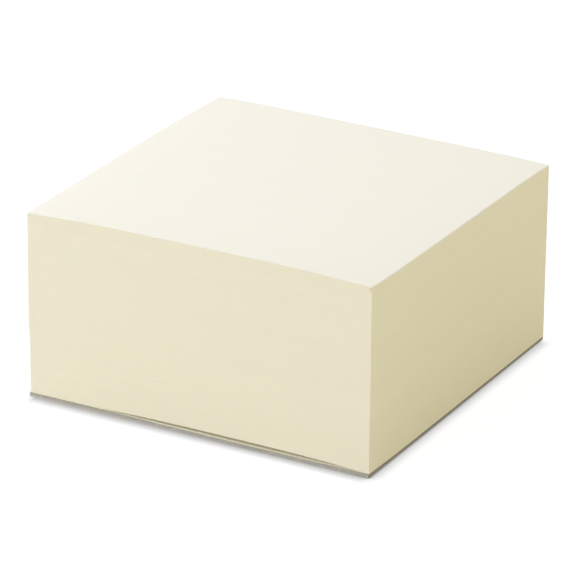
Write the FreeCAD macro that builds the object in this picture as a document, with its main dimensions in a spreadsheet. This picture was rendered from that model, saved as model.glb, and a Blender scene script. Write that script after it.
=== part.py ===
import FreeCAD, Part
import os

import Sketcher

# Memo block: a pile of loose paper sheets on a chipboard backing board, held together by a film
# of padding glue brushed over the back edge.
#
# Frame: +Z is up and the board's underside lies on Z = 0.  +X runs to the right along the free
# front edge, and +Y runs from the free front edge to the bound back edge.  X = 0 and Y = 0 are in
# the middle of the whole block, film included.

DIMENSIONS = [
    # alias, value in mm, what it is
    ("sheet_width", 86.0, "sheet, side to side"),
    ("sheet_depth", 86.0, "sheet, free edge to bound edge"),
    ("board_gauge", 0.95, "chipboard thickness"),
    ("film_gauge", 0.3, "padding glue thickness over the back edge"),
    ("film_foot", 0.2, "bare strip of board below the film, so that the block stands on its board"),
    ("pressed_rise", 42.45, "pile above the board where the binding presses it hardest"),
    ("front_left_swell", 1.02, "extra rise of the pile at its front left corner"),
    ("front_crown_swell", 2.34, "extra rise at the crown of the front edge's arch"),
    ("front_right_swell", 1.62, "extra rise at the front right corner"),
    ("middle_left_swell", 0.98, "extra rise halfway back, left side"),
    ("middle_crown_swell", 1.54, "extra rise halfway back, at the crown"),
    ("middle_right_swell", 0.8, "extra rise halfway back, right side"),
    ("back_left_swell", 0.13, "extra rise at the back left corner"),
    ("back_crown_swell", 0.43, "extra rise at the crown of the back edge"),
    ("back_right_swell", 0.0, "extra rise at the back right corner"),
    ("leaf_gauge", 0.2, "the last few sheets, which stay flat on the board"),
    ("split_opening", 0.68, "widest opening between those sheets and the pile above"),
    ("split_left_inset", 17.0, "left side of the pile to the start of the split"),
    ("split_right_inset", 2.0, "right side of the pile to the end of the split"),
    ("split_reach", 34.0, "how far back under the pile the split dies out"),
    ("bump_front", 1.1, "knocked top corner, width lost along the front face"),
    ("bump_side", 2.6, "knocked top corner, width lost along the right face"),
    ("bump_head", 0.2, "top corner down to where the knock starts"),
    ("bump_level", 0.6, "top corner down to where the knock is deepest"),
    ("bump_foot", 1.5, "top corner down to where the knock ends"),
]

# Cells worked out from the ones above: alias, formula.
DERIVED = [
    ("half_width", "=sheet_width / 2"),
    ("front_plane", "=-(sheet_depth + film_gauge) / 2"),
    ("middle_plane", "=front_plane + sheet_depth / 2"),
    ("back_plane", "=front_plane + sheet_depth"),
    ("pressed_top", "=board_gauge + pressed_rise"),
    ("split_floor", "=board_gauge + leaf_gauge"),
    ("split_left", "=-half_width + split_left_inset"),
    ("split_right", "=half_width - split_right_inset"),
    ("split_middle", "=(split_left + split_right) / 2"),
    ("split_tip_plane", "=front_plane + split_reach"),
    ("corner_top", "=pressed_top + front_right_swell"),
    ("bump_head_plane", "=corner_top - bump_head"),
    ("bump_level_plane", "=corner_top - bump_level"),
    ("bump_foot_plane", "=corner_top - bump_foot"),
]

# How a sketch numbers an edge's two ends, and its own origin.
START, END = range(1, 3)
ORIGIN = (-1, START)


class Outline:
    """A sketch on one of a body's origin planes, with its points measured from the origin."""

    def __init__(self, body, name, role, offset):
        """Attach the sketch to the plane of that role, pushed along its normal by a formula."""
        self.sketch = body.newObject("Sketcher::SketchObject", name)
        planes = {feature.Role: feature for feature in body.Origin.OriginFeatures}
        self.sketch.AttachmentSupport = [(planes[role], "")]
        self.sketch.MapMode = "FlatFace"
        self.sketch.setExpression("AttachmentOffset.Base.z", offset)

    def line(self, start, end):
        """A straight edge, in its rough place."""
        return self.sketch.addGeometry(Part.LineSegment(flat(*start), flat(*end)))

    def arc(self, start, through, end):
        """A round edge from start to end, counterclockwise, in its rough place."""
        return self.sketch.addGeometry(Part.Arc(flat(*start), flat(*through), flat(*end)))

    def point(self, place, construction):
        """A single point, in its rough place."""
        return self.sketch.addGeometry(Part.Point(flat(*place)), construction)

    def close(self, edges):
        """Join each edge's end to the next one's start, and the last to the first."""
        for edge, following in zip(edges, edges[1:] + edges[:1]):
            self.rule("Coincident", edge, END, following, START)

    def rule(self, kind, *references):
        """A constraint that has no size."""
        self.sketch.addConstraint(Sketcher.Constraint(kind, *references))

    def place(self, geometry, end, across=None, up=None):
        """Hold a point at formulas of the sheet, measured across and up from the origin."""
        for kind, formula in (("DistanceX", across), ("DistanceY", up)):
            if formula is None:
                continue
            value = float(self.sketch.evalExpression(formula))
            number = self.sketch.addConstraint(Sketcher.Constraint(kind, *ORIGIN, geometry, end, value))
            self.sketch.setExpression(f"Constraints[{number}]", formula)


def flat(across, up):
    """A point of a sketch."""
    return FreeCAD.Vector(across, up, 0)


def make_sheet(doc):
    """The spreadsheet that holds every size, one row to a size, with what it is beside it."""
    sheet = doc.addObject("Spreadsheet::Sheet", "Sizes")
    rows = [(alias, str(value), meaning) for alias, value, meaning in DIMENSIONS]
    rows += [(alias, formula, "worked out") for alias, formula in DERIVED]
    for number, (alias, content, meaning) in enumerate(rows, start=1):
        sheet.set(f"A{number}", meaning)
        sheet.set(f"B{number}", content)
        sheet.setAlias(f"B{number}", alias)
    doc.recompute()
    return sheet


def make_body(doc, label):
    """An empty body whose label names its file."""
    body = doc.addObject("PartDesign::Body", label)
    body.Label = label
    return body


def pile_outline(body, sheet, place, foot):
    """The pile's cross-section at one distance back: flat foot, upright sides, arched top.

    place is front, middle or back, and picks the swells that shape the arch.  foot is the cell
    that holds the height of the section's lower edge.
    """
    outline = Outline(body, f"{body.Label}_{place}", "XZ_Plane", f"-Sizes.{place}_plane")
    half = sheet.half_width
    left_top = sheet.pressed_top + getattr(sheet, f"{place}_left_swell")
    crown_top = sheet.pressed_top + getattr(sheet, f"{place}_crown_swell")
    right_top = sheet.pressed_top + getattr(sheet, f"{place}_right_swell")
    base = outline.line((-half, 0), (half, 0))
    right = outline.line((half, 0), (half, right_top))
    top = outline.arc((half, right_top), (0, crown_top), (-half, left_top))
    left = outline.line((-half, left_top), (-half, 0))
    crown = outline.point((0, crown_top), True)
    outline.close([base, right, top, left])
    outline.rule("Horizontal", base)
    outline.rule("Vertical", right)
    outline.rule("Vertical", left)
    outline.rule("PointOnObject", crown, START, top)
    outline.place(base, START, "-Sizes.half_width", f"Sizes.{foot}")
    outline.place(base, END, "Sizes.half_width")
    outline.place(right, END, None, f"Sizes.pressed_top + Sizes.{place}_right_swell")
    outline.place(left, START, None, f"Sizes.pressed_top + Sizes.{place}_left_swell")
    outline.rule("Vertical", *ORIGIN, crown, START)
    outline.place(crown, START, None, f"Sizes.pressed_top + Sizes.{place}_crown_swell")
    return outline.sketch


def split_mouth(body, sheet):
    """The split as it shows on the front face: a flat floor under a shallow arch."""
    outline = Outline(body, "split_mouth", "XZ_Plane", "-Sizes.front_plane")
    left = (sheet.split_left, sheet.split_floor)
    right = (sheet.split_right, sheet.split_floor)
    peak = (sheet.split_middle, sheet.split_floor + sheet.split_opening)
    floor = outline.line(left, right)
    arch = outline.arc(right, peak, left)
    crown = outline.point(peak, True)
    outline.close([floor, arch])
    outline.rule("PointOnObject", crown, START, arch)
    outline.place(floor, START, "Sizes.split_left", "Sizes.split_floor")
    outline.place(floor, END, "Sizes.split_right", "Sizes.split_floor")
    outline.place(crown, START, "Sizes.split_middle", "Sizes.split_floor + Sizes.split_opening")
    return outline.sketch


def bump_mouth(body, sheet):
    """The triangle that the knock took off the front right corner, where it is deepest."""
    outline = Outline(body, "bump_mouth", "XY_Plane", "Sizes.bump_level_plane")
    side, front = sheet.half_width, sheet.front_plane
    corners = [(side - sheet.bump_front, front), (side, front), (side, front + sheet.bump_side)]
    front_edge, side_edge, slant = (
        outline.line(*ends) for ends in zip(corners, corners[1:] + corners[:1])
    )
    outline.close([front_edge, side_edge, slant])
    outline.place(front_edge, START, "Sizes.half_width - Sizes.bump_front", "Sizes.front_plane")
    outline.place(side_edge, START, "Sizes.half_width", "Sizes.front_plane")
    outline.place(slant, START, "Sizes.half_width", "Sizes.front_plane + Sizes.bump_side")
    return outline.sketch


def tip(body, name, role, offset, across, up):
    """A single point, where a tapering cut dies out."""
    outline = Outline(body, name, role, offset)
    outline.place(outline.point((0, 0), False), START, across, up)
    return outline.sketch


def loft(body, kind, name, profile, sections, ruled):
    """Add or take away the solid that runs from the profile through the sections."""
    feature = body.newObject(f"PartDesign::{kind}Loft", name)
    feature.Profile = profile
    feature.Sections = sections
    feature.Ruled = ruled
    return feature


def make_sheet_stack(doc, sheet):
    """The pile: lofted from its free front edge back to the bound one, then split and knocked."""
    body = make_body(doc, "sheet_stack")
    front, middle, back = (
        pile_outline(body, sheet, place, "board_gauge") for place in ("front", "middle", "back")
    )
    loft(body, "Additive", "pile", front, [middle, back], False)
    doc.recompute()
    split_tip = tip(
        body, "split_tip", "XZ_Plane", "-Sizes.split_tip_plane", "Sizes.split_middle", "Sizes.split_floor"
    )
    loft(body, "Subtractive", "split", split_mouth(body, sheet), [split_tip], True)
    mouth = bump_mouth(body, sheet)
    for end in ("head", "foot"):
        bump_tip = tip(
            body, f"bump_{end}_tip", "XY_Plane", f"Sizes.bump_{end}_plane", "Sizes.half_width",
            "Sizes.front_plane",
        )
        loft(body, "Subtractive", f"bump_{end}", mouth, [bump_tip], True)
    return body


def make_backing_board(doc, sheet):
    """The chipboard panel, trimmed flush with the sheets."""
    body = make_body(doc, "backing_board")
    outline = Outline(body, "panel", "XY_Plane", "0")
    half, front, back = sheet.half_width, sheet.front_plane, sheet.back_plane
    corners = [(-half, front), (half, front), (half, back), (-half, back)]
    edges = [outline.line(*ends) for ends in zip(corners, corners[1:] + corners[:1])]
    outline.close(edges)
    for edge, rule in zip(edges, ("Horizontal", "Vertical", "Horizontal", "Vertical")):
        outline.rule(rule, edge)
    outline.place(edges[0], START, "-Sizes.half_width", "Sizes.front_plane")
    outline.place(edges[2], START, "Sizes.half_width", "Sizes.back_plane")
    pad = body.newObject("PartDesign::Pad", "board")
    pad.Profile = outline.sketch
    pad.setExpression("Length", "Sizes.board_gauge")
    return body


def make_glue_binding(doc, sheet):
    """The film of glue over the back edge: the pile's own back outline, brushed on outwards."""
    body = make_body(doc, "glue_binding")
    outline = pile_outline(body, sheet, "back", "film_foot")
    pad = body.newObject("PartDesign::Pad", "film")
    pad.Profile = outline
    pad.Reversed = True
    pad.setExpression("Length", "Sizes.film_gauge")
    return body


def check(doc, bodies):
    """Stop unless every object is up to date and every sub-part is one valid solid."""
    for item in doc.Objects:
        if {"Invalid", "Error"} & set(item.State):
            raise RuntimeError(f"{item.Label} failed: {item.State}")
    for body in bodies:
        shape = body.Shape
        if shape.isNull() or not shape.isValid() or len(shape.Solids) != 1:
            raise RuntimeError(f"{body.Label} isn't one valid solid")


def check_cut(body, name):
    """Stop if a feature that should take material away left the solid as it was."""
    feature = body.Document.getObject(name)
    before = feature.BaseFeature.Shape.Volume
    if not feature.Shape.Volume < before:
        raise RuntimeError(f"{name} cut nothing")


def export(bodies):
    """Write each sub-part to its own STEP file."""
    os.makedirs("parts", exist_ok=True)
    for body in bodies:
        body.Shape.exportStep(f"parts/{body.Label}.step")
        box = body.Shape.BoundBox
        print(
            f"{body.Label}: {body.Shape.Volume:.2f} mm3, X {box.XMin:.2f} to {box.XMax:.2f}, "
            f"Y {box.YMin:.2f} to {box.YMax:.2f}, Z {box.ZMin:.2f} to {box.ZMax:.2f}"
        )


def main():
    """Build the block and write its parts."""
    doc = FreeCAD.newDocument("memo_block")
    sheet = make_sheet(doc)
    stack = make_sheet_stack(doc, sheet)
    bodies = [stack, make_backing_board(doc, sheet), make_glue_binding(doc, sheet)]
    doc.recompute()
    check(doc, bodies)
    for cut in ("split", "bump_head", "bump_foot"):
        check_cut(stack, cut)
    export(bodies)


main()
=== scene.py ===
"""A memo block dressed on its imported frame: loose sheets padded over a chipboard backing.

Everything is in metres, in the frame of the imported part: +Z is up, +X runs to the right along the
free front edge and +Y runs from that edge back to the glued one.  A place on the block's plan is
given by two shares, across from its left face to its right one and back from its front face to
its back one.
"""

from __future__ import annotations

import logging
import math
from dataclasses import dataclass, field
from enum import Enum

import bpy
import numpy as np
from mathutils import Matrix, Vector

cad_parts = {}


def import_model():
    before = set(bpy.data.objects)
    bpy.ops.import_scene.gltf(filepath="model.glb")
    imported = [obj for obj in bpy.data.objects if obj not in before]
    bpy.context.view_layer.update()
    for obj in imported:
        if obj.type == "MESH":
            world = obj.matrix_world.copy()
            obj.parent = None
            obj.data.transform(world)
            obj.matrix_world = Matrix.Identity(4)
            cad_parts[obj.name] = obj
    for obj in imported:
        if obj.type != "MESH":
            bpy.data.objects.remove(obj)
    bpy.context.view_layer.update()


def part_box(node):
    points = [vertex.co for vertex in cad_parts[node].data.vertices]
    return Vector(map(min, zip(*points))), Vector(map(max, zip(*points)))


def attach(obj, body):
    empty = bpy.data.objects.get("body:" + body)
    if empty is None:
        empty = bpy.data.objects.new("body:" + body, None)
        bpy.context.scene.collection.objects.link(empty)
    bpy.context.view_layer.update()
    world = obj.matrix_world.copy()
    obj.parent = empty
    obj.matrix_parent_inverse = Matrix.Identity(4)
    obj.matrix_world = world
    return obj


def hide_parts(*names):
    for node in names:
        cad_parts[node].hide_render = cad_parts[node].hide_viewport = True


MM = 0.001
BODY = "root"
LOG = logging.getLogger("memo_block")

Array = np.ndarray
Pair = tuple[float, float]
Triple = tuple[float, float, float]
Colour = Triple
Tree, Socket = bpy.types.NodeTree, bpy.types.NodeSocket
Material, Object = bpy.types.Material, bpy.types.Object
TO_RIGHT, TO_BACK, UPWARD = (1.0, 0.0, 0.0), (0.0, 1.0, 0.0), (0.0, 0.0, 1.0)


class Shading(Enum):
    """How a mesh's faces catch the light."""

    FACETED = False
    SMOOTH = True


class Side(Enum):
    """A cut face of the block."""

    FRONT = "front"
    RIGHT = "right"
    BACK = "back"
    LEFT = "left"


# Measures taken from the frame ---------------------------------------------------------------


@dataclass(frozen=True)
class Envelope:
    """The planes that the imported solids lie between."""

    left: float
    right: float
    front: float
    back: float
    board_top: float
    pile_top: float
    film_foot: float
    film_back: float

    @classmethod
    def read(cls) -> Envelope:
        """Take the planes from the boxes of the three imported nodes."""
        pile_low, pile_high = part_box("sheet_stack")
        _, board_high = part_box("backing_board")
        film_low, film_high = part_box("glue_binding")
        return cls(
            left=pile_low[0],
            right=pile_high[0],
            front=pile_low[1],
            back=pile_high[1],
            board_top=board_high[2],
            pile_top=pile_high[2],
            film_foot=film_low[2],
            film_back=film_high[1],
        )

    @property
    def width(self) -> float:
        """Side to side."""
        return self.right - self.left

    @property
    def depth(self) -> float:
        """Free edge to bound edge."""
        return self.back - self.front

    def shares(self, x: Array, y: Array) -> tuple[Array, Array]:
        """Turn places along X and Y into shares across and back, from 0 to 1 on the pile."""
        return (x - self.left) / self.width, (y - self.front) / self.depth


def crown(share: Array, fullness: float, lean: float = 1.0) -> Array:
    """A hump of height 1 that is 0 at both ends: 1 - |2 s^lean - 1| ^ fullness.

    Args:
        share: Where along the hump, from 0 to 1.
        fullness: 2 gives a parabola, and more gives steeper shoulders and a flatter top.
        lean: Under 1 moves the top towards the start, and over 1 towards the end.

    Returns:
        The hump's height at each share.
    """
    held = np.clip(share, 0.0, 1.0) ** lean
    return 1.0 - np.abs(2.0 * held - 1.0) ** fullness


def blend(start: Array | float, end: Array | float, share: Array) -> Array:
    """Run straight from one value, at a share of 0, to another, at a share of 1."""
    return (1.0 - share) * start + share * end


def edge_drop(ends: Pair, hump: Triple, share: Array) -> Array:
    """How far an edge drops: a straight run between its ends, less a crown of some height."""
    height, fullness, lean = hump
    return blend(*ends, share) - height * crown(share, fullness, lean)


def progress(value: Array, start: float, end: float) -> Array:
    """How far a value has come on its way, 0 at the start and 1 at the end."""
    return (value - start) / (end - start)


def nearness(distance: Array, reach: float) -> Array:
    """How near a place is, from 1 at no distance down to 0 at the reach and beyond."""
    return np.clip(1.0 - distance / reach, 0.0, 1.0)


@dataclass(frozen=True)
class PileForm:
    """How the pile swells, lifts and splits between the board and its top sheet.

    A drop is measured down from the pile's top.  A hump is a crown's height, fullness and lean.
    """

    envelope: Envelope
    sheet: float = 0.1 * MM
    front_left_drop: float = 1.34 * MM
    front_right_drop: float = 0.73 * MM
    back_left_drop: float = 2.22 * MM
    back_right_drop: float = 2.35 * MM
    front_hump: Triple = (0.93 * MM, 3.6, 0.9)
    back_hump: Triple = (0.37 * MM, 5.5, 1.0)
    left_hump: Triple = (0.47 * MM, 2.0, 1.67)
    right_hump: Triple = (0.47 * MM, 3.0, 1.6)
    right_sag: float = 0.49 * MM
    sag_lean: float = 0.75
    loose_sheets: int = 2
    split_start: float = 17.0 * MM
    split_end: float = 2.0 * MM
    split_reach: float = 34.0 * MM
    split_opening: float = 0.68 * MM
    split_fullness: float = 6.0
    split_hump: Triple = (0.45, 2.0, 1.35)
    split_line: float = 0.05
    corner_gap: float = 0.07 * MM
    corner_fade: float = 0.7
    corner_reach: float = 11.0 * MM
    corner_lift: float = 0.15 * MM
    lift_reach: float = 2.5 * MM
    press_near: float = 0.19 * MM
    press_far: float = 0.12 * MM
    press_reach: float = 1.2 * MM
    dip: float = 0.08 * MM
    dip_reach: float = 6.0 * MM
    dip_shares: Pair = (0.5, 1.0)
    dip_fullness: float = 2.0
    tuck: float = 0.27 * MM
    tuck_start: float = 20.0 * MM
    tuck_full: float = 12.0 * MM
    loose_recess: float = 0.01 * MM
    left_recess: float = 0.19 * MM
    left_shares: Pair = (-0.2, 0.38)
    left_fullness: float = 4.0
    corner_recess: float = 0.1 * MM
    corner_powers: tuple[int, int] = (6, 12)
    bump_front: float = 1.1 * MM
    bump_side: float = 2.6 * MM
    bump_head: float = 0.2 * MM
    bump_level: float = 0.6 * MM
    bump_foot: float = 1.5 * MM
    bump_lines: Triple = (0.33, 0.66, 1.0)

    def top(self, across: Array, back: Array) -> Array:
        """Height of the pile's top, a Coons patch stretched over its four edges.

        The patch is the blend of the front and back edges, plus the blend of the left and right
        edges, less the blend of the four corners that both of them count.  The right edge sags
        in front, and the front right corner curls up a little.
        """
        near = (self.front_left_drop, self.front_right_drop)
        far = (self.back_left_drop, self.back_right_drop)
        left, right = zip(near, far)
        sag = self.right_sag * np.sin(math.pi * np.clip(back, 0.0, 1.0) ** self.sag_lean)
        front_edge = edge_drop(near, self.front_hump, across)
        back_edge = edge_drop(far, self.back_hump, across)
        left_edge = edge_drop(left, self.left_hump, back)
        right_edge = edge_drop(right, self.right_hump, back) + sag
        edges = blend(front_edge, back_edge, back) + blend(left_edge, right_edge, across)
        corners = blend(blend(*near, across), blend(*far, across), back)
        curl = self.corner_lift * self.near_corner(across, back, self.lift_reach)
        return self.envelope.pile_top - (edges - corners) + curl

    def near_corner(self, across: Array, back: Array, reach: float) -> Array:
        """Nearness to the front right corner, from 1 at it down to 0 at a reach."""
        aside = (1.0 - across) * self.envelope.width
        behind = back * self.envelope.depth
        return nearness(np.hypot(aside, behind), reach)

    def foot(self, across: Array, back: Array) -> Array:
        """Height of the lowest sheet: the board's, less a press on two of its edges.

        The knife pressed the right edge, least at the front corner, and the front edge dips right
        of the middle.  Both die away with the square of the distance from their edge.
        """
        aside = (1.0 - across) * self.envelope.width
        pressed = nearness(aside, self.press_reach) ** 2
        press = blend(self.press_near, self.press_far, back)
        press = press * (1.0 - self.near_corner(across, back, self.corner_reach))
        dipped = nearness(back * self.envelope.depth, self.dip_reach) ** 2
        dip = self.dip * crown(progress(across, *self.dip_shares), self.dip_fullness)
        return self.envelope.board_top - press * pressed - dip * dipped

    def board_crest(self, across: Array, back: Array) -> Array:
        """Height of the board's upper face: the lowest sheet's, less a gap at one corner."""
        near = self.near_corner(across, back, self.corner_reach)
        return self.foot(across, back) - self.corner_gap * near**self.corner_fade

    def tucked(self, height: Array) -> Array:
        """How far the left face leans in low down: an S-curve between two heights."""
        held = np.clip(progress(height, self.tuck_start, self.tuck_full), 0.0, 1.0)
        return self.tuck * held**2 * (3.0 - 2.0 * held)

    def recess(self, across: Array, back: Array) -> tuple[Array, Array]:
        """How far the loose sheets stay behind the pile's front face and its right one.

        Along the front edge it is wide up to where the split opens, and it grows with a high power
        of the share towards the front right corner.

        Returns:
            The recess behind the front face and the one behind the right face.
        """
        hump = crown(progress(across, *self.left_shares), self.left_fullness)
        along, aside = self.corner_powers
        front = self.loose_recess + self.left_recess * hump + self.corner_recess * across**along
        side = self.loose_recess + self.corner_recess * (1.0 - back) ** aside
        return front, side

    def split(self, across: Array, back: Array) -> Array:
        """Opening between the loose bottom sheets and the pile above them.

        Along the front it opens steeply at both ends and most right of the middle, and it closes
        towards the back in proportion to the distance.
        """
        end = self.envelope.width - self.split_end
        along = progress(across * self.envelope.width, self.split_start, end)
        height, fullness, lean = self.split_hump
        swell = height * (crown(along, fullness, lean) - 1.0)
        mouth = crown(along, self.split_fullness) * (1.0 + swell)
        return self.split_opening * mouth * nearness(back * self.envelope.depth, self.split_reach)

    def split_lines(self) -> Array:
        """Extra plan lines along X, at the split's steep ends and a little inside them."""
        start, end = self.split_start, self.envelope.width - self.split_end
        inside = (end - start) * self.split_line
        return self.envelope.left + np.array([start, end, start + inside, end - inside])

    def loose_top(self, across: Array, back: Array) -> Array:
        """Height of the top of the loose bottom sheets."""
        return self.foot(across, back) + self.loose_sheets * self.sheet

    def underside(self, across: Array, back: Array) -> Array:
        """Height of the underside of the pile above the split."""
        return self.loose_top(across, back) + self.split(across, back)

    def press_bump(self, points: Array) -> Array:
        """Push the sheet corners in, just under the front right top corner, where it was knocked.

        The dent is a double pyramid on the upright edge.  At its deepest level a line cuts the
        two faces at the bump's front and side sizes, and both shrink in proportion to nothing
        at the dent's head and foot.  A point beyond its level's line is moved straight onto it.

        Args:
            points: Places, with X, Y and Z along the last axis.

        Returns:
            The places after the knock.
        """
        drop = self.envelope.pile_top - self.front_right_drop - points[..., 2]
        above = progress(drop, self.bump_head, self.bump_level)
        below = progress(drop, self.bump_foot, self.bump_level)
        depth = np.clip(np.minimum(above, below), 0.0, 1.0)
        front, side = self.bump_front * depth, self.bump_side * depth
        inward = self.envelope.right - points[..., 0]
        behind = points[..., 1] - self.envelope.front
        beyond = np.maximum(front * side - side * inward - front * behind, 0.0)
        push = beyond / np.maximum(front**2 + side**2, np.finfo(float).tiny)
        return points + np.stack([-push * side, push * front, np.zeros_like(push)], axis=-1)

    def plan(self, x: Array, y: Array) -> PlanGrid:
        """A plan of given lines plus a few across the dent, whose edges then come out straight."""
        shares = np.array(self.bump_lines)
        x = np.append(x, self.envelope.right - self.bump_front * shares)
        y = np.append(y, self.envelope.front + self.bump_side * shares)
        return PlanGrid(np.sort(x), np.sort(y))


# Meshes --------------------------------------------------------------------------------------


@dataclass(frozen=True)
class PlanGrid:
    """A grid of places over the pile's plan, and the ring of places around its rim."""

    x: Array
    y: Array

    @property
    def shape(self) -> tuple[int, int]:
        """Rows and columns."""
        return len(self.y), len(self.x)

    def rim(self) -> tuple[Array, Array]:
        """Row and column of each place on the rim, anticlockwise from the front left corner."""
        last_row, last_column = self.shape[0] - 1, self.shape[1] - 1
        along, up = np.arange(last_column), np.arange(last_row)
        rows = np.concatenate(
            [np.zeros_like(along), up, np.full_like(along, last_row), last_row - up]
        )
        columns = np.concatenate(
            [along, np.full_like(up, last_column), last_column - along, np.zeros_like(up)]
        )
        return rows, columns

    def places(self) -> tuple[Array, Array]:
        """X and Y of every place of the grid."""
        return np.meshgrid(self.x, self.y)

    def pulled_in(self, pulls: dict[Side, Array]) -> tuple[Array, Array]:
        """The rim with each side pulled in by its own amounts.

        Args:
            pulls: How far each side is pulled in, one row to a level and one column to a place.

        Returns:
            X and Y, likewise.
        """
        rows, columns = self.rim()
        last_row, last_column = self.shape[0] - 1, self.shape[1] - 1
        x = self.x[columns] + np.where(columns == 0, pulls[Side.LEFT], 0.0)
        y = self.y[rows] + np.where(rows == 0, pulls[Side.FRONT], 0.0)
        x = x - np.where(columns == last_column, pulls[Side.RIGHT], 0.0)
        y = y - np.where(rows == last_row, pulls[Side.BACK], 0.0)
        return x, y


def smooth(rows: Array, width: int) -> Array:
    """Smooth each row of values by a Hann window, its width in places."""
    window = np.hanning(width) / np.hanning(width).sum()
    return np.stack([np.convolve(row, window, "same") for row in rows])


def quads_between(indices: Array) -> Array:
    """The quads of a grid of point numbers, anticlockwise if columns run right and rows run up."""
    return np.stack(
        [indices[:-1, :-1], indices[:-1, 1:], indices[1:, 1:], indices[1:, :-1]], axis=-1
    ).reshape(-1, 4)


def closed_stack(grid: PlanGrid, rings: Array, floor: Array, roof: Array) -> tuple[Array, Array]:
    """A closed solid with upright walls: rings from the foot up, with a floor and a roof.

    Args:
        grid: The plan that the floor and the roof are laid out on.
        rings: Places around the rim, one ring to a level, from the lowest up.
        floor: Places of the whole grid at the foot; only those inside the rim are used.
        roof: Places of the whole grid at the top, likewise.

    Returns:
        The points and the quads, facing outwards.
    """
    levels, around = rings.shape[:2]
    numbers = np.arange(levels * around).reshape(levels, around)
    looped = np.concatenate([numbers, numbers[:, :1]], axis=1)
    points, quads = [rings.reshape(-1, 3)], [quads_between(looped)]
    rows, columns = grid.rim()
    used = levels * around
    for surface, ring, outward in ((floor, numbers[0], -1), (roof, numbers[-1], 1)):
        inner = surface[1:-1, 1:-1].reshape(-1, 3)
        indices = np.empty(grid.shape, dtype=int)
        indices[1:-1, 1:-1] = (used + np.arange(len(inner))).reshape(
            grid.shape[0] - 2, grid.shape[1] - 2
        )
        indices[rows, columns] = ring
        points.append(inner)
        quads.append(quads_between(indices)[:, ::outward])
        used += len(inner)
    return np.concatenate(points), np.concatenate(quads)


def make_piece(
    name: str, points: Array, quads: Array, material: Material, shading: Shading
) -> Object:
    """Put a mesh of quads into the scene, with its place in its points.

    Args:
        name: The piece's name.
        points: Places, one to a row.
        quads: Four point numbers to a row.
        material: The piece's finish.
        shading: How its faces catch the light.

    Returns:
        The new object.
    """
    mesh = bpy.data.meshes.new(name)
    mesh.vertices.add(len(points))
    mesh.vertices.foreach_set("co", np.asarray(points, dtype=np.float32).ravel())
    mesh.loops.add(quads.size)
    mesh.loops.foreach_set("vertex_index", np.asarray(quads, dtype=np.int32).ravel())
    mesh.polygons.add(len(quads))
    mesh.polygons.foreach_set("loop_start", np.arange(0, quads.size, 4, dtype=np.int32))
    mesh.polygons.foreach_set("use_smooth", np.full(len(quads), shading.value))
    mesh.update(calc_edges=True)
    mesh.validate()
    mesh.materials.append(material)
    piece = bpy.data.objects.new(name, mesh)
    bpy.context.scene.collection.objects.link(piece)
    return piece


# Finishes ------------------------------------------------------------------------------------


def feed(tree: Tree, socket: Socket, value: Socket | float | tuple[float, ...]) -> None:
    """Give a socket its value, a plain one or what another socket carries."""
    if isinstance(value, Socket):
        tree.links.new(value, socket)
    else:
        socket.default_value = value


def combine(tree: Tree, operation: str, first: Socket, second: Socket | float) -> Socket:
    """Work a value out of two others, by one of a Math node's operations."""
    node = tree.nodes.new("ShaderNodeMath")
    node.operation = operation
    feed(tree, node.inputs[0], first)
    feed(tree, node.inputs[1], second)
    return node.outputs["Value"]


def map_range(
    tree: Tree, value: Socket, source: Pair, target: tuple[float | Socket, ...], clamp: bool = True
) -> Socket:
    """Carry a value from one range over to another.

    Args:
        tree: The node tree to add to.
        value: The value.
        source: Its range.
        target: The range it is carried to; each end is a number or a socket.
        clamp: Whether it is held at the ends.

    Returns:
        The value in its new range.
    """
    scale = tree.nodes.new("ShaderNodeMapRange")
    scale.clamp = clamp
    tree.links.new(value, scale.inputs["Value"])
    scale.inputs["From Min"].default_value, scale.inputs["From Max"].default_value = source
    for label, end in zip(("To Min", "To Max"), target):
        feed(tree, scale.inputs[label], end)
    return scale.outputs["Result"]


def darker(colour: Colour, share: float) -> Colour:
    """The colour with a share of its light taken off."""
    return tuple(channel * (1.0 - share) for channel in colour)


@dataclass(frozen=True)
class Grain:
    """A noise that stains a material's colour, raises its surface, or does both.

    Attributes:
        stretch: How many features there are to a metre along each axis.
        detail: How many finer layers are added.
        stain: The colour that comes in as the noise runs through its window.
        window: Where the stain starts and where it is full, by the noise, 0.5 on average.
        share: How much of the stain shows where it is full.
        depth: How far the noise raises the surface, in metres.
    """

    stretch: Triple
    detail: float
    stain: Colour | None = None
    window: Pair = (0.0, 1.0)
    share: float = 1.0
    depth: float = 0.0


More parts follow.
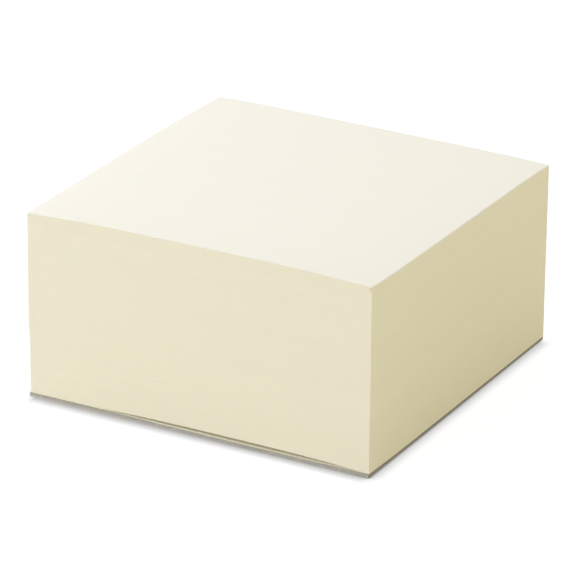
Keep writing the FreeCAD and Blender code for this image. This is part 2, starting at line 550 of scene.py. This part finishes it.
class Shader:
    """One material under construction: its nodes, and its Principled shader."""

    def __init__(self, name: str, roughness: float, specular: float) -> None:
        """Start a material with an even gloss.

        Args:
            name: The material's name.
            roughness: The same all over.
            specular: Specular level, the same all over.
        """
        self.material = bpy.data.materials.new(name)
        self.material.use_nodes = True
        self.tree = self.material.node_tree
        self.surface = self.tree.nodes["Principled BSDF"]
        self.surface.inputs["Roughness"].default_value = roughness
        self.surface.inputs["Specular IOR Level"].default_value = specular
        self.place = self.tree.nodes.new("ShaderNodeTexCoord").outputs["Object"]

    def link(self, source: Socket, target: Socket) -> None:
        """Feed one socket from another."""
        self.tree.links.new(source, target)

    def noise(self, grain: Grain) -> Socket:
        """A grain's noise, over the object's own coordinates."""
        mapping = self.tree.nodes.new("ShaderNodeMapping")
        mapping.inputs["Scale"].default_value = grain.stretch
        self.link(self.place, mapping.inputs["Vector"])
        texture = self.tree.nodes.new("ShaderNodeTexNoise")
        texture.inputs["Scale"].default_value = 1.0
        texture.inputs["Detail"].default_value = grain.detail
        self.link(mapping.outputs["Vector"], texture.inputs["Vector"])
        return texture.outputs["Fac"]

    def along(self, direction: Triple) -> Socket:
        """How far the place lies along a direction, in metres times the direction's length."""
        dot = self.tree.nodes.new("ShaderNodeVectorMath")
        dot.operation = "DOT_PRODUCT"
        self.link(self.place, dot.inputs[0])
        dot.inputs[1].default_value = direction
        return dot.outputs["Value"]

    def ramp(self, value: Socket, source: Pair, target: Pair) -> Socket:
        """Carry a value from one range over to another, held at the ends."""
        return map_range(self.tree, value, source, target)

    def tint(self, base: Socket | Colour, other: Colour, share: Socket) -> Socket:
        """Mix a second colour into the first one by a share.

        Args:
            base: A colour, or a socket that carries one.
            other: The colour at a share of 1.
            share: How much of the other colour shows.

        Returns:
            The mixed colour.
        """
        mix = self.tree.nodes.new("ShaderNodeMix")
        mix.data_type = "RGBA"
        ends = {socket.identifier: socket for socket in mix.inputs}
        self.link(share, ends["Factor_Float"])
        first = (*base, 1.0) if isinstance(base, tuple) else base
        feed(self.tree, ends["A_Color"], first)
        ends["B_Color"].default_value = (*other, 1.0)
        return next(s for s in mix.outputs if s.identifier == "Result_Color")

    def relief(self, height: Socket, depth: float) -> None:
        """Raise the surface by a share of a depth, on top of any relief it already has."""
        bump = self.tree.nodes.new("ShaderNodeBump")
        bump.inputs["Distance"].default_value = depth
        self.link(height, bump.inputs["Height"])
        normal = self.surface.inputs["Normal"]
        if normal.is_linked:
            self.link(normal.links[0].from_socket, bump.inputs["Normal"])
        self.link(bump.outputs["Normal"], normal)

    def grained(self, colour: Colour, grains: tuple[Grain, ...]) -> Socket:
        """Lay grains over a plain colour, one on top of the other."""
        for grain in grains:
            noise = self.noise(grain)
            if grain.stain:
                share = self.ramp(noise, grain.window, (0.0, grain.share))
                colour = self.tint(colour, grain.stain, share)
            if grain.depth:
                self.relief(noise, grain.depth)
        return colour

    def finish(self, colour: Socket) -> Material:
        """Give the surface its colour, and hand the material over."""
        self.link(colour, self.surface.inputs["Base Color"])
        return self.material


def paper_face() -> Material:
    """The flat of a sheet: uncoated ivory paper, cloudy in formation, with a fine tooth."""
    ivory = (0.895, 0.872, 0.805)
    clouds = Grain((260.0, 260.0, 260.0), 3.0, darker(ivory, 0.03))
    tooth = Grain((7000.0, 3150.0, 7000.0), 4.0, darker(ivory, 0.05), (0.35, 0.75), 1.0, 0.012 * MM)
    shader = Shader("paper_face", roughness=0.8, specular=0.15)
    return shader.finish(shader.grained(ivory, (clouds, tooth)))


def paper_edge() -> Material:
    """The cut ends of the pile: a little yellower than the faces, in bands, with knife marks."""
    cream = (0.858, 0.815, 0.652)
    bands = Grain((6.0, 6.0, 420.0), 5.0, darker(cream, 0.05))
    knife = Grain((1500.0, 1500.0, 35.0), 2.0, darker(cream, 0.04), (0.55, 0.8), 0.5)
    fibres = Grain((9000.0, 9000.0, 13500.0), 3.0, darker(cream, 0.12), (0.4, 0.8), 0.7, 0.01 * MM)
    shader = Shader("paper_edge", roughness=0.9, specular=0.15)
    return shader.finish(shader.grained(cream, (bands, knife, fibres)))


def padding_glue() -> Material:
    """Dried padding glue: a milky skin with a soft gloss, brushed along the edge."""
    milky, thin = (0.86, 0.84, 0.76), (0.80, 0.745, 0.6)
    strokes = Grain((28.0, 28.0, 900.0), 6.0, thin, (0.4, 0.62), 0.9, 0.06 * MM)
    sheets = Grain((25.0, 25.0, 10000.0), 1.0, depth=0.024 * MM)
    pools = Grain((90.0, 90.0, 240.0), 3.0, darker(milky, 0.12), (0.45, 0.7), 0.7)
    shader = Shader("padding_glue", roughness=0.34, specular=0.5)
    return shader.finish(shader.grained(milky, (strokes, sheets, pools)))


@dataclass(frozen=True)
class Chipboard:
    """Grey recycled board: brownish pulp with light and dark fibres, pressed in plies.

    Painted shade darkens its right edge, where the pile above overhangs it.  Its lower edge is
    lighter, fully at the left end and not at all at the right.
    """

    grey: Colour = (0.48, 0.454, 0.40)
    light_fibre: Colour = (0.62, 0.59, 0.53)
    dark_fibre: Colour = (0.16, 0.14, 0.12)
    fibre_depth: float = 0.05 * MM
    painted_edge_shade: float = 0.46
    painted_edge_shade_width: float = 0.25 * MM
    foot_lighten: Pair = (1.0, 0.0)
    foot_lighten_height: float = 0.45 * MM

    def build(self, right: float) -> Material:
        """Make the material.

        Args:
            right: The plane of the board's right edge.
        """
        depth = self.fibre_depth
        pulp = Grain((900.0, 900.0, 900.0), 5.0, darker(self.grey, 0.35), depth=depth)
        seams = Grain((160.0, 160.0, 4200.0), 2.0, darker(self.grey, 0.45), (0.55, 0.68), 0.55)
        along = Grain((1260.0, 1260.0, 7560.0), 3.0, self.light_fibre, (0.57, 0.68), 0.75, depth)
        crossing = Grain((5880.0, 4620.0, 2940.0), 2.0, self.dark_fibre, (0.63, 0.7), 0.7)
        shader = Shader("chipboard", roughness=0.92, specular=0.15)
        colour = shader.grained(self.grey, (pulp, seams, along, crossing))
        across = shader.along(TO_RIGHT)
        # Lighter along the lower edge, fully at the left end and fading to nothing at the right.
        side = shader.ramp(across, (-right, right), self.foot_lighten)
        low = shader.ramp(shader.along(UPWARD), (0.0, self.foot_lighten_height), (1.0, 0.0))
        colour = shader.tint(colour, self.light_fibre, combine(shader.tree, "MULTIPLY", side, low))
        # Painted shade: the board's right edge is darkened towards a dark fibre colour.
        edge = shader.ramp(across, (right - self.painted_edge_shade_width, right), (0.0, self.painted_edge_shade))
        return shader.finish(shader.tint(colour, darker(self.dark_fibre, 0.3), edge))


def background_rays(tree: Tree) -> Socket:
    """1 for rays that show the background, as seen, mirrored or through glass, and else 0."""
    rays = tree.nodes.new("ShaderNodeLightPath")
    seen = rays.outputs["Is Camera Ray"]
    for label in ("Is Glossy Ray", "Is Transmission Ray"):
        seen = combine(tree, "MAXIMUM", seen, rays.outputs[label])
    return seen


@dataclass(frozen=True)
class ContactShade:
    """How the table dims where the block closes off the sky, seen along a leaning direction.

    Its strength runs from one value to another along the table's diagonal, from the block's
    front left and back right corners to the front right one.
    """

    reach: float
    power: float
    lean: Triple
    strengths: Pair = (1.0, 1.0)
    span: Pair = (8.0 * MM, 55.0 * MM)
    samples: int = 8

    def build(self, tree: Tree, diagonal: Socket) -> Socket:
        """Add the nodes.

        Args:
            tree: The table's node tree.
            diagonal: The place along the table's diagonal.

        Returns:
            The share of the light that is left, 1 in the open.
        """
        upward = tree.nodes.new("ShaderNodeVectorMath")
        upward.operation = "NORMALIZE"
        upward.inputs[0].default_value = self.lean
        sky = tree.nodes.new("ShaderNodeAmbientOcclusion")
        sky.samples = self.samples
        sky.inputs["Distance"].default_value = self.reach
        tree.links.new(upward.outputs["Vector"], sky.inputs["Normal"])
        factor = combine(tree, "POWER", sky.outputs["AO"], self.power)
        strength = map_range(tree, diagonal, self.span, self.strengths)
        return map_range(tree, strength, (0.0, 1.0), (1.0, factor), False)


@dataclass(frozen=True)
class WhiteTable:
    """The table: white paint to the light that bounces off it, and lit paper to the camera.

    What the camera sees is mostly the table's own glow, which dims where the block closes off
    the sky within a few millimetres, so the contact shadow stays and the rest is plain white.
    """

    name: str = "table_top"
    paint: Colour = (0.9, 0.9, 0.9)
    seen_paint: Colour = (0.1, 0.1, 0.1)
    glow: float = 0.95
    shades: tuple[ContactShade, ...] = (
        ContactShade(3.7 * MM, 1.3, (0.25, 0.0, 1.0)),
        ContactShade(0.6 * MM, 0.5, (-0.6, -0.8, 1.0), (0.1, 1.65)),
    )
    left_shadow_fade: Pair = (-0.4 * MM, 1.6 * MM)
    back_shadow_fade: Pair = (0.3 * MM, -2.5 * MM)

    def build(self, envelope: Envelope) -> Material:
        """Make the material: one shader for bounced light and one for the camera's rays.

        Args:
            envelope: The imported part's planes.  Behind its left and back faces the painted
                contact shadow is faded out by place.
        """
        shader = Shader(self.name, roughness=1.0, specular=0.0)
        tree, bounced = shader.tree, shader.surface
        seen = tree.nodes.new("ShaderNodeBsdfPrincipled")
        for surface, paint in ((bounced, self.paint), (seen, self.seen_paint)):
            surface.inputs["Base Color"].default_value = (*paint, 1.0)
        seen.inputs["Roughness"].default_value = 1.0
        seen.inputs["Specular IOR Level"].default_value = 0.0
        seen.inputs["Emission Color"].default_value = (1.0, 1.0, 1.0, 1.0)
        diagonal = shader.along((1.0, -1.0, 0.0))
        level = tree.nodes.new("ShaderNodeValue").outputs["Value"]
        level.default_value = self.glow
        for shade in self.shades:
            level = combine(tree, "MULTIPLY", level, shade.build(tree, diagonal))
        # The painted contact shadow fades out by place behind the block's left and back faces.
        for direction, plane, (start, end) in (
            (TO_RIGHT, envelope.left, self.left_shadow_fade), (TO_BACK, envelope.film_back, self.back_shadow_fade)
        ):
            source = (plane + start, plane + end)
            level = map_range(tree, shader.along(direction), source, (self.glow, level))
        shader.link(level, seen.inputs["Emission Strength"])
        choice = tree.nodes.new("ShaderNodeMixShader")
        shader.link(background_rays(tree), choice.inputs["Fac"])
        shader.link(bounced.outputs["BSDF"], choice.inputs[1])
        shader.link(seen.outputs["BSDF"], choice.inputs[2])
        shader.link(choice.outputs["Shader"], tree.nodes["Material Output"].inputs["Surface"])
        return shader.material


# Pieces --------------------------------------------------------------------------------------


@dataclass
class SheetPile:
    """The pile between its loose bottom sheets and its top ones, sheet by sheet."""

    form: PileForm
    edge: Material
    top_sheets: int = 3
    groove: float = 0.03 * MM
    gauge_spread: float = 0.06
    levels_each: int = 3
    lip: float = 0.14
    slip: float = 0.009 * MM
    wander: float = 0.02 * MM
    sway: float = 0.008 * MM
    waves: Pair = (0.5, 3.0)
    columns: int = 17
    rows: int = 11
    seed: int = 11
    generator: np.random.Generator = field(init=False)

    def __post_init__(self) -> None:
        """Seed the draws that set one sheet apart from the next."""
        self.generator = np.random.default_rng(self.seed)

    def plan(self) -> PlanGrid:
        """A coarse plan with extra lines at the split's ends and across the dent."""
        room = self.form.envelope
        x = np.linspace(room.left, room.right, self.columns)
        y = np.linspace(room.front, room.back, self.rows)
        return self.form.plan(np.append(x, self.form.split_lines()), y)

    def count(self) -> int:
        """How many sheets lie between the split and the top sheets."""
        form = self.form
        height = float(form.top(np.array(0.0), np.array(1.0)) - form.envelope.board_top)
        return round(height / form.sheet) - form.loose_sheets - self.top_sheets

    def level_shares(self, count: int) -> tuple[Array, Array]:
        """Three levels to a sheet: the groove under it and the two lips of its cut end.

        Args:
            count: How many sheets there are.

        Returns:
            Each level's share of the way up, and how deep it lies in its groove, from 0 to 1.
        """
        gauges = self.generator.normal(1.0, self.gauge_spread, count)
        starts = np.concatenate([[0.0], np.cumsum(gauges)])
        steps = starts[:-1, None] + gauges[:, None] * np.array([0.0, self.lip, 1.0 - self.lip])
        shares = np.append(steps.ravel(), starts[-1]) / starts[-1]
        depths = np.append(np.tile([1.0, 0.0, 0.0], count), 1.0)
        return shares, depths

    def insets(self, count: int) -> Array:
        """How far each level of each side lies inside the trimmed face.

        A sheet's inset is a slow random walk that stands for lifts of paper, plus a draw of its
        own, both brought to 0 or more.

        Args:
            count: How many sheets there are.

        Returns:
            One row to a side, one column to a level.
        """
        walk = np.cumsum(self.generator.normal(0.0, 1.0, (len(Side), count)), axis=1)
        walk -= walk.min(axis=1, keepdims=True)
        walk *= self.wander / walk.max(axis=1, keepdims=True)
        own = np.abs(self.generator.normal(0.0, self.slip, (len(Side), count)))
        levels = np.repeat(walk + own, self.levels_each, axis=1)
        return np.concatenate([levels, levels[:, -1:]], axis=1)

    def sways(self, count: int, along: Array) -> Array:
        """How each sheet's cut end snakes: a sine of its own waves and phase along the side.

        Args:
            count: How many sheets there are.
            along: Share along the side of each place of the ring.

        Returns:
            One row to a level, one column to a place, from 0 to the sway.
        """
        waves = self.generator.uniform(*self.waves, (count, 1))
        phases = self.generator.uniform(0.0, 1.0, (count, 1))
        sines = np.sin(2.0 * math.pi * (waves * along + phases))
        levels = np.repeat(self.sway * (1.0 + sines) / 2.0, self.levels_each, axis=0)
        return np.concatenate([levels, levels[-1:]])

    def crest(self, across: Array, back: Array) -> Array:
        """Height of the top of the pile, under its top sheets."""
        return self.form.top(across, back) - self.top_sheets * self.form.sheet

    def rings(self, grid: PlanGrid) -> Array:
        """The pile's wall: a ring to a level, each pulled in by its groove and its sheet's slip."""
        form = self.form
        rows, columns = grid.rim()
        across, back = form.envelope.shares(grid.x[columns], grid.y[rows])
        count = self.count()
        shares, depths = self.level_shares(count)
        pull = self.insets(count) + self.groove * depths
        low = form.underside(across, back)
        levels = low + (self.crest(across, back) - low) * shares[:, None]
        sway = self.sways(count, across + back)
        pulls = {side: level[:, None] + sway for side, level in zip(Side, pull)}
        pulls[Side.LEFT] = pulls[Side.LEFT] + form.tucked(levels)
        ring_x, ring_y = grid.pulled_in(pulls)
        return form.press_bump(np.stack([ring_x, ring_y, levels], axis=-1))

    def build(self) -> Object:
        """Make the pile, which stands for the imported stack."""
        grid, form = self.plan(), self.form
        x, y = grid.places()
        across, back = form.envelope.shares(x, y)
        floor = np.stack([x, y, form.underside(across, back)], axis=-1)
        roof = np.stack([x, y, self.crest(across, back)], axis=-1)
        points, quads = closed_stack(grid, self.rings(grid), floor, roof)
        return make_piece("pile_sheets", points, quads, self.edge, Shading.FACETED)


@dataclass(frozen=True)
class LooseSheet:
    """One whole sheet, laid on a surface of the pile, that fills most of its pitch."""

    name: str
    form: PileForm
    level: float
    on_top: bool
    inset: float
    skew: float = 0.0
    fill: float = 0.96
    lines: int = 60

    def surface(self, across: Array, back: Array, rise: float) -> Array:
        """Height of the sheet's face a given rise above its underside."""
        if self.on_top:
            return self.form.top(across, back) - self.level + rise
        return self.form.foot(across, back) + self.level + rise

    def build(self, material: Material) -> Object:
        """Make the sheet, a closed slab, with the paper's finish."""
        room, gauge = self.form.envelope, self.form.sheet * self.fill
        # The lines draw closer together towards the sheet's edges.
        spread = np.sin(np.linspace(-0.5, 0.5, self.lines) * math.pi) / 2.0 + 0.5
        grid = self.form.plan(room.left + room.width * spread, room.front + room.depth * spread)
        flat_x, flat_y = grid.places()
        across, back = room.shares(flat_x, flat_y)
        front, side = self.form.recess(across, back)
        front, side = (0.0, 0.0) if self.on_top else (front + self.skew * across, side)
        inner_x = flat_x + self.inset * (1.0 - across) - (self.inset + side) * across
        inner_y = flat_y + (self.inset + front) * (1.0 - back) - self.inset * back
        faces = []
        for rise in (0.0, gauge):
            level = self.surface(across, back, rise)
            face = np.stack([inner_x, inner_y, level], axis=-1)
            faces.append(self.form.press_bump(face) if self.on_top else face)
        rows, columns = grid.rim()
        rings = np.stack([face[rows, columns] for face in faces])
        points, quads = closed_stack(grid, rings, faces[0], faces[1])
        return make_piece(self.name, points, quads, material, Shading.FACETED)


@dataclass(frozen=True)
class BackingBoard:
    """The chipboard panel, with plies that stand a hair proud of each other at the cut."""

    form: PileForm
    material: Material
    levels: int = 9
    lines: int = 90
    ply_relief: float = 0.035 * MM
    burr: float = 0.02 * MM
    smoothing: int = 9
    right_inset: float = 0.08 * MM
    seed: int = 5

    def build(self) -> Object:
        """Make the panel: a ring to a ply, each pulled in by its own wandering amount."""
        room = self.form.envelope
        generator = np.random.default_rng(self.seed)
        x = np.linspace(room.left, room.right - self.right_inset, self.lines)
        y = np.linspace(room.front, room.back, self.lines)
        grid = PlanGrid(x, y)
        rows, columns = grid.rim()
        around = len(rows)
        # Three turns of the same knots, with the middle one kept, so that the burr closes up.
        knots = np.tile(generator.normal(0.0, 1.0, (self.levels, around)), 3)
        wave = smooth(knots, self.smoothing)[:, around:-around]
        pull = self.ply_relief * generator.uniform(0.0, 1.0, (self.levels, 1))
        pull = np.maximum(pull + self.burr * wave, 0.0)
        pull[[0, -1]] += self.burr
        ring_x, ring_y = grid.pulled_in(dict.fromkeys(Side, pull))
        flat_x, flat_y = grid.places()
        across, back = room.shares(flat_x, flat_y)
        crest = self.form.board_crest(across, back)
        ring_z = np.linspace(0.0, 1.0, self.levels)[:, None] * crest[rows, columns]
        floor = np.stack([flat_x, flat_y, np.zeros_like(flat_x)], axis=-1)
        roof = np.stack([flat_x, flat_y, crest], axis=-1)
        rings = np.stack([ring_x, ring_y, ring_z], axis=-1)
        points, quads = closed_stack(grid, rings, floor, roof)
        return make_piece("chipboard_panel", points, quads, self.material, Shading.FACETED)


@dataclass(frozen=True)
class GlueFilm:
    """The brushed skin of glue over the back edge, from the board up to the top sheet."""

    form: PileForm
    material: Material
    columns: int = 120
    rows: int = 110
    thin: float = 0.2 * MM
    stroke: float = 0.05 * MM
    stroke_length: int = 41
    stroke_breadth: int = 7
    rim: float = 0.4 * MM
    rim_coat: float = 0.3
    seed: int = 23

    def build(self) -> Object:
        """Make the film: a flat inner face on the sheets and a brushed outer one.

        The outer face is a thin coat plus long brush strokes, which are random knots smoothed far
        along the stroke and little across it, and it thins out towards its rim.
        """
        room, form = self.form.envelope, self.form
        generator = np.random.default_rng(self.seed)
        along = np.linspace(0.0, 1.0, self.columns)
        up = np.linspace(0.0, 1.0, self.rows)
        share_x, share_z = np.meshgrid(along, up)
        x = room.left + room.width * share_x
        crest = form.top(share_x, np.ones_like(share_x)) - form.sheet
        z = room.film_foot + (crest - room.film_foot) * share_z
        strokes = generator.normal(0.0, 1.0, share_x.shape)
        strokes = smooth(smooth(strokes, self.stroke_length).T, self.stroke_breadth).T
        strokes /= np.abs(strokes).max()
        to_rim = np.minimum.reduce([x - room.left, room.right - x, z - room.film_foot, crest - z])
        fade = np.sqrt(np.clip(to_rim / self.rim, 0.0, 1.0))
        coat = self.thin + self.stroke * (1.0 + strokes)
        coat *= self.rim_coat + (1.0 - self.rim_coat) * fade
        most = room.film_back - room.back
        inner = np.stack([x, np.full_like(x, room.back), z], axis=-1)
        outer = np.stack([x, room.back + np.minimum(coat, most), z], axis=-1)
        grid = PlanGrid(along, up)
        rim_rows, rim_columns = grid.rim()
        rings = np.stack([outer[rim_rows, rim_columns], inner[rim_rows, rim_columns]])
        points, quads = closed_stack(grid, rings, outer, inner)
        return make_piece("glue_film", points, quads, self.material, Shading.SMOOTH)


# Studio --------------------------------------------------------------------------------------


def towards(bearing: float, elevation: float) -> Vector:
    """The direction that lies at a bearing and a height angle.

    Args:
        bearing: Degrees, 0 in front of the block and 90 to its right.
        elevation: Degrees above the table.

    Returns:
        The direction, of length 1.
    """
    turn, lift = math.radians(bearing), math.radians(elevation)
    level = math.cos(lift)
    return Vector((math.sin(turn) * level, -math.cos(turn) * level, math.sin(lift)))


@dataclass(frozen=True)
class Lamp:
    """A square softbox that looks at the block from a bearing and a height angle, in degrees."""

    name: str
    bearing: float
    elevation: float
    distance: float
    size: float
    watts: float
    colour: Colour = (1.0, 1.0, 1.0)

    def build(self, target: Vector) -> Object:
        """Hang the lamp and turn it to the target."""
        away = towards(self.bearing, self.elevation)
        data = bpy.data.lights.new(self.name, "AREA")
        data.size = self.size
        data.energy = self.watts
        data.color = self.colour
        lamp = bpy.data.objects.new(self.name, data)
        lamp.location = target + away * self.distance
        lamp.rotation_euler = (-away).to_track_quat("-Z", "Y").to_euler()
        bpy.context.scene.collection.objects.link(lamp)
        return lamp


@dataclass(frozen=True)
class Studio:
    """A white table under soft lamps, and the camera."""

    lamps: tuple[Lamp, ...] = (
        Lamp("left_softbox", -90.0, 50.0, 1.1, 0.7, 7.35),
        Lamp("front_softbox", -15.0, 20.0, 1.1, 0.7, 5.9),
        Lamp("right_fill", 95.0, 22.0, 1.1, 0.7, 4.54, (1.0, 0.92, 0.635)),
        Lamp("back_fill", -150.0, 30.0, 1.1, 0.7, 2.4),
    )
    surround: float = 0.26
    table: float = 6.0
    bearing: float = 28.59
    elevation: float = 23.13
    roll: float = 0.59
    distance: float = 1.038
    lens: float = 287.4
    sensor: float = 36.0
    clip: Pair = (0.0519, 24.0)
    aim_height: float = 22.0 * MM
    aim_right: float = -0.7 * MM
    aim_up: float = -2.12 * MM

    def build_table(self, envelope: Envelope) -> None:
        """Lay the white table under the block."""
        half = self.table / 2.0
        points = np.array([[-half, -half, 0], [half, -half, 0], [half, half, 0], [-half, half, 0]])
        quads = np.array([[0, 1, 2, 3]])
        paper = WhiteTable().build(envelope)
        floor = make_piece("table_top", points, quads, paper, Shading.FACETED)

    def build_surround(self) -> None:
        """An even white world: a level for the light, and full white where it is seen."""
        world = bpy.data.worlds.new("surround")
        bpy.context.scene.world = world
        world.use_nodes = True
        tree = world.node_tree
        sky = tree.nodes["Background"]
        sky.inputs["Color"].default_value = (1.0, 1.0, 1.0, 1.0)
        level = map_range(tree, background_rays(tree), (0.0, 1.0), (self.surround, 1.0))
        tree.links.new(level, sky.inputs["Strength"])

    def build_camera(self, envelope: Envelope) -> None:
        """Set the camera up, aimed from its bearing at the block's middle and rolled a touch."""
        back = towards(self.bearing, self.elevation)
        right = towards(self.bearing + 90.0, 0.0)
        up = back.cross(right)
        lean = math.radians(self.roll)
        side = right * math.cos(lean) + up * math.sin(lean)
        head = up * math.cos(lean) - right * math.sin(lean)
        middle = Vector((0.0, (envelope.front + envelope.back) / 2.0, self.aim_height))
        place = middle + back * self.distance + side * self.aim_right + head * self.aim_up
        data = bpy.data.cameras.new("camera")
        data.sensor_width = self.sensor
        data.lens = self.lens
        data.clip_start, data.clip_end = self.clip
        camera = bpy.data.objects.new("camera", data)
        turned = Matrix((side, head, back)).transposed().to_4x4()
        camera.matrix_world = Matrix.Translation(place) @ turned
        bpy.context.scene.collection.objects.link(camera)
        bpy.context.scene.camera = camera

    def build(self, envelope: Envelope) -> None:
        """Set up the table, the light and the camera."""
        self.build_table(envelope)
        self.build_surround()
        middle = Vector((0.0, 0.0, envelope.pile_top / 2.0))
        for lamp in self.lamps:
            lamp.build(middle)
        self.build_camera(envelope)
        bpy.context.scene.view_settings.view_transform = "Standard"


# The whole block -----------------------------------------------------------------------------


@dataclass(frozen=True)
class MemoBlock:
    """Every piece of the block, built in order from the board up."""

    envelope: Envelope
    loose_insets: tuple[float, ...] = (0.0, 0.02 * MM)
    loose_skews: tuple[float, ...] = (0.05 * MM, 0.3 * MM)
    top_insets: tuple[float, ...] = (0.0, 0.02 * MM, 0.05 * MM)

    def add(self, piece: Object, node: str, slot: str) -> None:
        """Let a piece ride on the block and stand for its node."""
        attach(piece, BODY)
        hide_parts(node)
        LOG.info("%s: %d faces, for %s", piece.name, len(piece.data.polygons), node)

    def build(self) -> None:
        """Make the board, the loose bottom sheets, the pile, the top sheets and the film."""
        form = PileForm(self.envelope)
        edge, face = paper_edge(), paper_face()
        board = BackingBoard(form, Chipboard().build(self.envelope.right))
        self.add(board.build(), "backing_board", "chipboard")
        for number, (inset, skew) in enumerate(zip(self.loose_insets, self.loose_skews)):
            level = number * form.sheet
            sheet = LooseSheet(f"bottom_sheet_{number + 1}", form, level, False, inset, skew)
            self.add(sheet.build(edge), "sheet_stack", "sheets")
        self.add(SheetPile(form, edge).build(), "sheet_stack", "sheets")
        for number, inset in enumerate(self.top_insets):
            level = (len(self.top_insets) - number) * form.sheet
            sheet = LooseSheet(f"top_sheet_{number + 1}", form, level, True, inset)
            self.add(sheet.build(face), "sheet_stack", "sheets")
        film = GlueFilm(form, padding_glue())
        self.add(film.build(), "glue_binding", "padding_glue")


def main() -> None:
    """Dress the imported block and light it."""
    logging.basicConfig(level=logging.INFO, format="%(name)s: %(message)s")
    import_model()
    envelope = Envelope.read()
    MemoBlock(envelope).build()
    Studio().build(envelope)


if __name__ == "__main__":
    main()
